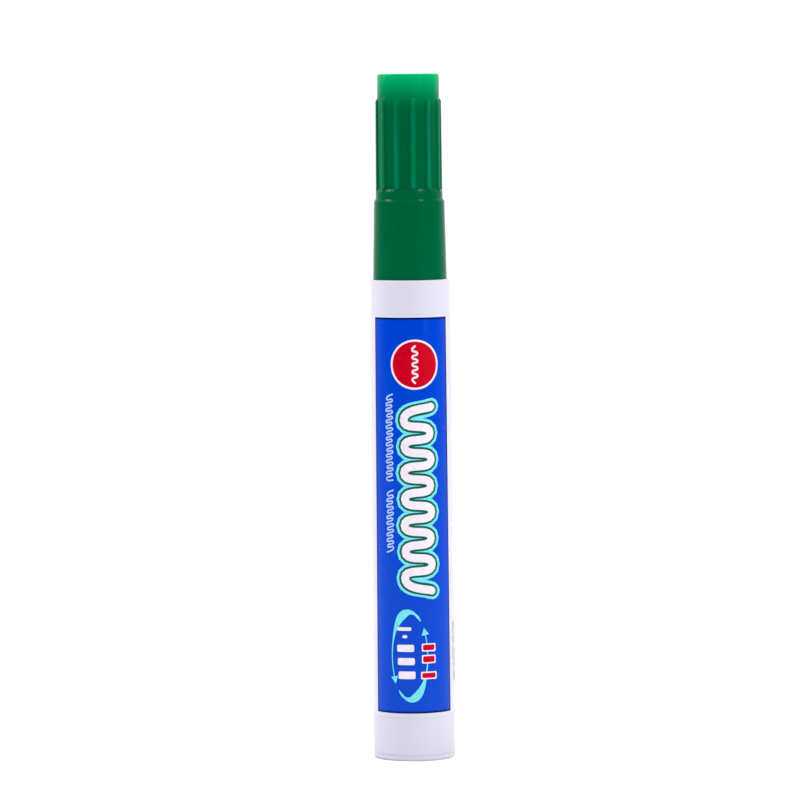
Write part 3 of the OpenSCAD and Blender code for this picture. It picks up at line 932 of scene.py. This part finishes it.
def flat_stroke(name, points, half_width, shares=None, round_ends=True):
    """A flat stroke of ink in the XZ plane: a curve through the points, pressed to the ink's thickness.

    Shares give the stroke's width at each point, as a part of its full width.
    """
    ink = bpy.context.scene.marker_print.ink
    points = [Vector((u, 0, z)) for u, z in points]
    shares = list(shares or [1.0] * len(points))
    if round_ends:
        for end, inner, at in ((points[0], points[1], 0), (points[-1], points[-2], None)):
            way = (end - inner).normalized() * half_width
            for angle in (35, 60, 80):  # degrees round the stroke's end
                extra = end + way * math.sin(math.radians(angle))
                share = math.cos(math.radians(angle))
                if at is None:
                    points.append(extra)
                    shares.append(share)
                else:
                    points.insert(0, extra)
                    shares.insert(0, share)
    start_clean()
    bpy.ops.curve.primitive_bezier_curve_add(radius=1, location=(0, 0, 0))
    curve = bpy.context.object
    curve.name = name
    bpy.ops.object.mode_set(mode="EDIT")
    spline = curve.data.splines[0]
    for point, share, knot in zip(points[:2], shares[:2], spline.bezier_points):
        knot.co = point
        knot.radius = share
    bpy.ops.curve.select_all(action="DESELECT")
    bpy.ops.curve.de_select_last()
    for last, point, share in zip(points[1:], points[2:], shares[2:]):
        bpy.ops.curve.extrude_move(TRANSFORM_OT_translate={"value": tuple(point - last)})
        bpy.ops.curve.radius_set(radius=share)
    bpy.ops.curve.select_all(action="SELECT")
    bpy.ops.curve.handle_type_set(type="AUTOMATIC")
    bpy.ops.object.mode_set(mode="OBJECT")
    curve.data.bevel_depth = half_width
    curve.data.bevel_resolution = 3
    curve.data.resolution_u = 10
    curve.data.use_fill_caps = True
    bpy.ops.object.convert(target="MESH")
    piece = bpy.context.object
    piece.scale = (1, ink / half_width, 1)
    return name_new(name)


def flat_bar(name, across, height, width, tall, corner):
    """A flat bar with rounded corners in the XZ plane."""
    ink = bpy.context.scene.marker_print.ink
    start_clean()
    bpy.ops.mesh.primitive_cube_add(size=1, location=(across, 0, height))
    bpy.context.object.scale = (width, 2 * ink, tall)
    piece = name_new(name)
    bpy.ops.object.mode_set(mode="EDIT")
    pick(piece, "FACE", lambda centre, normal: abs(normal.y) > 0.5)
    bpy.ops.mesh.select_mode(type="EDGE")
    bpy.ops.mesh.select_all(action="INVERT")
    bpy.ops.mesh.bevel(offset=corner, segments=4, affect="EDGES")
    bpy.ops.object.mode_set(mode="OBJECT")
    return piece


def join_flat(name, pieces):
    """Joins like flat prints into one piece."""
    start_clean()
    for piece in pieces:
        piece.select_set(True)
    bpy.context.view_layer.objects.active = pieces[0]
    if len(pieces) > 1:
        bpy.ops.object.join()
    pieces[0].name = name
    pieces[0].data.name = name
    return pieces[0]


class MARKER_OT_label(bpy.types.Operator):
    """Turn the printed film and lay its glued overlap at the back"""
    bl_idname = "marker.label"
    bl_label = "Film"

    def execute(self, context):
        sizes = context.scene.marker_barrel
        top_r = film_radius(FILM_TOP_Z)
        edge = 0.03 * MM
        piece = turn("label_sleeve", [
            (FILM_R - sizes.film_thickness, FILM_Z),
            (FILM_R, FILM_Z, edge),
            (top_r, FILM_TOP_Z, edge),
            (top_r - sizes.film_thickness, FILM_TOP_Z),
        ])
        bpy.ops.object.mode_set(mode="EDIT")
        half = sizes.overlap_width / 2

        def on_overlap(centre, normal):
            return (abs(centre.x) < half and centre.y > 0 and normal.y > 0.5
                    and centre.xy.length > film_radius(centre.z) - edge)

        pick(piece, "FACE", on_overlap)
        bpy.ops.mesh.extrude_region_move(TRANSFORM_OT_translate={"value": (0, 0, 0)})
        factor = 1 + 0.6 * sizes.film_thickness / FILM_R
        bpy.ops.transform.resize(value=(factor, factor, 1), center_override=(0, 0, 0))
        bpy.ops.object.mode_set(mode="OBJECT")
        colours, prints = context.scene.marker_colours, context.scene.marker_print
        material = film_material(colours, prints, sizes.overlap_width)
        finish_piece(piece, "root", material, "printed_label")
        return {"FINISHED"}


class MARKER_OT_badge(bpy.types.Operator):
    """Print the round red badge, its pale rim and the small wave in it"""
    bl_idname = "marker.badge"
    bl_label = "Badge"

    def execute(self, context):
        sizes = context.scene.marker_print
        colours = context.scene.marker_colours
        across, height = sizes.badge_offset, sizes.badge_height
        pale = ink_material("lilac_white", colours.pale)
        rim = flat_disc("badge_rim", across, height, sizes.badge_radius)
        print_piece(rim, 1.0, pale)
        field = flat_disc("badge_field", across, height, sizes.badge_radius - sizes.badge_rim)
        print_piece(field, 2.0, ink_material("red", colours.badge))
        reach, tall, turns, half_width = 0.5 * MM, 7.2 * MM, 5, 0.2 * MM
        halves = 2 * turns
        wave = []
        for k in range(halves + 1):
            side = 0 if k in (0, halves) else (-1) ** k
            wave.append((across + side * reach, height + tall * (0.5 - k / halves)))
        print_piece(flat_stroke("badge_wave", wave, half_width), 3.5, pale, slices=False)
        return {"FINISHED"}


class MARKER_OT_squiggle(bpy.types.Operator):
    """Print the big squiggle in three layers: a light halo, a dark outline and the white stroke"""
    bl_idname = "marker.squiggle"
    bl_label = "Squiggle"

    def execute(self, context):
        sizes = context.scene.marker_print
        colours = context.scene.marker_colours
        centre = 1.0 * MM
        uneven = (1.0, 0.86, 0.94, 0.82)  # shares of the reach, one turn after another
        path = []
        for k in range(2 * sizes.squiggle_waves + 1):
            reach = (-1) ** k * sizes.squiggle_reach * uneven[k % 4]
            path.append((centre + reach, sizes.squiggle_top - sizes.squiggle_pitch * k / 2))
        core = sizes.squiggle_half_width
        outline = core + sizes.squiggle_outline
        halo = outline + sizes.squiggle_halo
        for name, half_width, layer, ink, code in (
                ("squiggle_halo", halo, 1.8, "light_blue", colours.halo),
                ("squiggle_outline", outline, 2.8, "dark_green", colours.outline),
                ("squiggle_core", core, 3.8, "lilac_white", colours.pale)):
            print_piece(flat_stroke(name, path, half_width), layer, ink_material(ink, code), slices=False)
        return {"FINISHED"}


class MARKER_OT_fine_waves(bpy.types.Operator):
    """Print the two fine pale waves beside the squiggle"""
    bl_idname = "marker.fine_waves"
    bl_label = "Fine waves"

    def execute(self, context):
        across, reach, slant, step, half_width = (x * MM for x in (-4.6, 0.72, 0.2, 0.56, 0.16))
        uneven = (1.0, 0.8, 1.0)  # shares of the reach, one turn after another
        waves = []
        for name, top, count in (("upper", 71.9 * MM, 31), ("lower", 53.1 * MM, 22)):
            points = []
            for k in range(count):
                side = (-1) ** k
                points.append((across + side * reach * uneven[k % 3], top - k * step + side * slant))
            waves.append(flat_stroke(f"wave_{name}", points, half_width))
        piece = join_flat("fine_waves", waves)
        print_piece(piece, 1.0, ink_material("pale_blue", context.scene.marker_colours.fine), slices=False)
        return {"FINISHED"}


class MARKER_OT_sweeps(bpy.types.Operator):
    """Print the two light-blue sweeps with their arrowheads"""
    bl_idname = "marker.sweeps"
    bl_label = "Sweeps"

    def execute(self, context):
        across, height = -0.8 * MM, 20.8 * MM
        half_wide, half_tall = 3.6 * MM, 8.6 * MM
        half_width = 0.85 * MM
        first, last, step, widest, spread = 52, 222, 10, 112, 30  # degrees along the ellipse
        pieces = []
        for turn_by in (0, 180):
            points, shares = [], []
            for angle in range(first, last, step):
                a = math.radians(angle + turn_by)
                points.append((across + half_wide * math.cos(a), height + half_tall * math.sin(a)))
                swell = 0.12 + 0.88 * math.exp(-((angle - widest) / spread) ** 2)
                start = 0.1 + 0.2 * (angle - first) / step
                shares.append(start if angle <= first + step else swell)
            pieces.append(flat_stroke(f"sweep_{turn_by}", points, half_width, shares, round_ends=False))
            end, before = Vector(points[-1]), Vector(points[-2])
            way = (end - before).normalized()
            arrow = [tuple(end + way * ahead * MM) for ahead in (-0.5, 0.2, 0.9)]
            pieces.append(flat_stroke(
                f"arrow_{turn_by}", arrow, half_width, [0.95, 0.5, 0.06], round_ends=False))
        piece = join_flat("sweeps", pieces)
        print_piece(piece, 1.0, ink_material("light_blue", context.scene.marker_colours.halo), slices=False)
        return {"FINISHED"}


class MARKER_OT_bars(bpy.types.Operator):
    """Print the white bars and the red bars with their pale rims near the foot"""
    bl_idname = "marker.bars"
    bl_label = "Bars"

    def execute(self, context):
        colours = context.scene.marker_colours
        pale, red, grey = (ink_material(name, code) for name, code in (
            ("lilac_white", colours.pale), ("red", colours.badge), ("grey", colours.grey)))

        # Each white bar's place up the film, its width and its height; each stands a little right of the last.
        rows = ((26.1, 2.9, 0.7), (24.6, 1.0, 0.6), (22.3, 3.4, 1.4), (19.7, 3.4, 1.4), (17.0, 3.4, 1.5))
        across, shift, corner = -1.85 * MM, 0.12 * MM, 0.32 * MM
        bars = [flat_bar(f"white_{k}", across + shift * k, z * MM, wide * MM, tall * MM, corner)
                for k, (z, wide, tall) in enumerate(rows)]
        print_piece(join_flat("white_bars", bars), 2.5, pale)

        rows = ((22.4, 2.4, 1.1), (20.1, 2.4, 1.2), (16.9, 2.8, 1.0))
        across, corner = 3.05 * MM, 0.26 * MM
        for name, grow, layer, material in (("red_bar_rims", 0.5, 2.0, pale), ("red_bars", 0.0, 3.0, red)):
            bars = [flat_bar(f"{name}_{k}", across, z * MM, (wide + grow) * MM, (tall + grow) * MM, corner)
                    for k, (z, wide, tall) in enumerate(rows)]
            print_piece(join_flat(name, bars), layer, material)

        top, thick, gap, corner = (x * MM for x in (26.9, 0.26, 0.45, 0.08))
        lengths = (2.3, 1.5, 2.9, 1.1, 2.0)
        lines = []
        for row, angle in enumerate((72, 79, 86, 93)):
            z = top
            for k in range(len(lengths)):
                long = lengths[(k + row) % len(lengths)] * MM
                lines.append(flat_bar(
                    f"line_{row}_{k}", math.radians(angle) * FILM_R, z - long / 2, thick, long, corner))
                z -= long + gap
        print_piece(join_flat("fine_lines", lines), 1.0, grey)
        return {"FINISHED"}


# ---------------------------------------------------------------- stage

class MARKER_OT_stage(bpy.types.Operator):
    """Set the pale floor, the studio light and the camera"""
    bl_idname = "marker.stage"
    bl_label = "Stage"

    def floor(self, context):
        start_clean()
        radius, thickness, cloud = 40, 0.02, 0.15
        bpy.ops.mesh.primitive_circle_add(vertices=96, radius=radius, location=(0, 0, 0), fill_type="NGON")
        floor = name_new("studio_floor")
        bpy.ops.object.mode_set(mode="EDIT")
        bpy.ops.mesh.select_all(action="SELECT")
        bpy.ops.mesh.extrude_region_move(TRANSFORM_OT_translate={"value": (0, 0, -thickness)})
        bpy.ops.mesh.select_all(action="SELECT")
        bpy.ops.mesh.normals_make_consistent(inside=False)
        bpy.ops.object.mode_set(mode="OBJECT")
        # Matt painted board: near white, with a soft cloudiness.
        material, tree, place = new_material("painted_board_matt")
        shade = tuple(context.scene.marker_colours.floor)
        clouds = add_node(tree, "TexNoise", {"Vector": place, "Scale": 1 / cloud})
        clouds = add_node(tree, "MapRange", (clouds, 0.3, 0.7))
        end_material(tree, {
            "Base Color": add_node(
                tree, "Mix", {0: clouds, FIRST: tone(shade, 0.985), SECOND: shade}, MIXED, data_type="RGBA"),
            "Roughness": 0.9, "Specular IOR Level": 0.2})
        floor.data.materials.append(material)

    def light(self, kind, name, place, power, size, aim):
        way = (Vector(aim) - Vector(place)).to_track_quat("-Z", "Y")
        bpy.ops.object.light_add(type=kind, location=place, rotation=way.to_euler())
        lamp = bpy.context.object
        lamp.name = name
        lamp.data.energy = power
        if kind == "AREA":
            lamp.data.shape = "RECTANGLE"
            lamp.data.size, lamp.data.size_y = size
        else:
            lamp.data.angle = size

    def execute(self, context):
        scene = context.scene
        colours = scene.marker_colours
        self.floor(context)
        start_clean()
        middle = (0, 0, 0.0805)
        for name, place, power, size in (
                ("left_softbox", (-0.67, 0.16, 0.34), 0.5, (0.03, 0.3)),
                ("right_softbox", (0.48, -0.5, 0.36), 0.85, (0.25, 0.4)),
                # The two high lights stand where the ring's ledge and the skirt's shoulder mirror them.
                ("high_left", (-0.42, 0.03, 0.55), 0.85, (0.28, 0.07)),
                ("high_right", (0.27, -0.1, 0.655), 0.8, (0.14, 0.09))):
            self.light("AREA", name, place, power, size, middle)
        self.light("SUN", "overhead", (0, 0, 2), 1.1, math.radians(40), (0, 0.02, 0))

        # The light tent is white behind the marker and greyer in front of it, so that its sides aren't flat.
        scene.world = bpy.data.worlds.new("studio_tent")
        scene.world.use_nodes = True
        tree = scene.world.node_tree
        tree.nodes.clear()
        way = add_node(tree, "TexCoord", output="Generated")
        backwards = (0.1, 0.99, 0)
        lean = add_node(tree, "VectorMath", (way, backwards), "Value", operation="DOT_PRODUCT")
        share = add_node(tree, "MapRange", (lean, -0.6, 0.5))
        front, back = tuple(colours.tent_front), tuple(colours.tent_back)
        glow = add_node(tree, "Mix", {0: share, FIRST: front, SECOND: back}, MIXED, data_type="RGBA")
        sky = add_node(tree, "Background", {"Color": glow, "Strength": 1.04})
        add_node(tree, "OutputWorld", {"Surface": sky})

        view = scene.view_settings
        view.view_transform = "Standard"
        view.use_curve_mapping = True
        view.curve_mapping.black_level = (0.014, 0.014, 0.014)
        view.curve_mapping.update()

        place, aim = Vector((0, -0.884, 0.1295)), Vector((-0.0022, 0, 0.0705))
        roll = Quaternion((0, 0, 1), math.radians(-0.585))
        turned = (aim - place).to_track_quat("-Z", "Y") @ roll
        bpy.ops.object.camera_add(location=place, rotation=turned.to_euler())
        camera = bpy.context.object
        camera.name = "studio_camera"
        camera.data.sensor_width = 36
        camera.data.lens = 202.6
        camera.data.clip_start = 0.01
        camera.data.clip_end = 200
        scene.camera = camera
        return {"FINISHED"}


# ---------------------------------------------------------------- panel and run

OPERATORS = (
    MARKER_OT_stage,
    MARKER_OT_barrel, MARKER_OT_tail_plug, MARKER_OT_nib_holder, MARKER_OT_nib, MARKER_OT_filler,
    MARKER_OT_cap, MARKER_OT_inner_cap, MARKER_OT_label, MARKER_OT_badge, MARKER_OT_squiggle,
    MARKER_OT_fine_waves, MARKER_OT_sweeps, MARKER_OT_bars,
)


class MARKER_PT_panel(bpy.types.Panel):
    """Lists the marker's pieces, and the sizes and colours that they are made from"""
    bl_idname = "MARKER_PT_panel"
    bl_label = "Whiteboard marker"
    bl_space_type = "VIEW_3D"
    bl_region_type = "UI"
    bl_category = "Marker"

    def draw(self, context):
        for operator in OPERATORS:
            self.layout.operator(operator.bl_idname)
        for name, group in GROUPS.items():
            box = self.layout.box()
            for key in group.__annotations__:
                box.prop(getattr(context.scene, name), key)


def register():
    for group in GROUPS.values():
        bpy.utils.register_class(group)
    for name, group in GROUPS.items():
        setattr(bpy.types.Scene, name, bpy.props.PointerProperty(type=group))
    for kind in OPERATORS + (MARKER_PT_panel,):
        bpy.utils.register_class(kind)


def unregister():
    for kind in reversed(OPERATORS + (MARKER_PT_panel,)):
        bpy.utils.unregister_class(kind)
    for name, group in GROUPS.items():
        delattr(bpy.types.Scene, name)
        bpy.utils.unregister_class(group)


def main():
    """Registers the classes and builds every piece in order."""
    register()
    for operator in OPERATORS:
        group, name = operator.bl_idname.split(".")
        getattr(getattr(bpy.ops, group), name)()


if __name__ == "__main__":
    main()
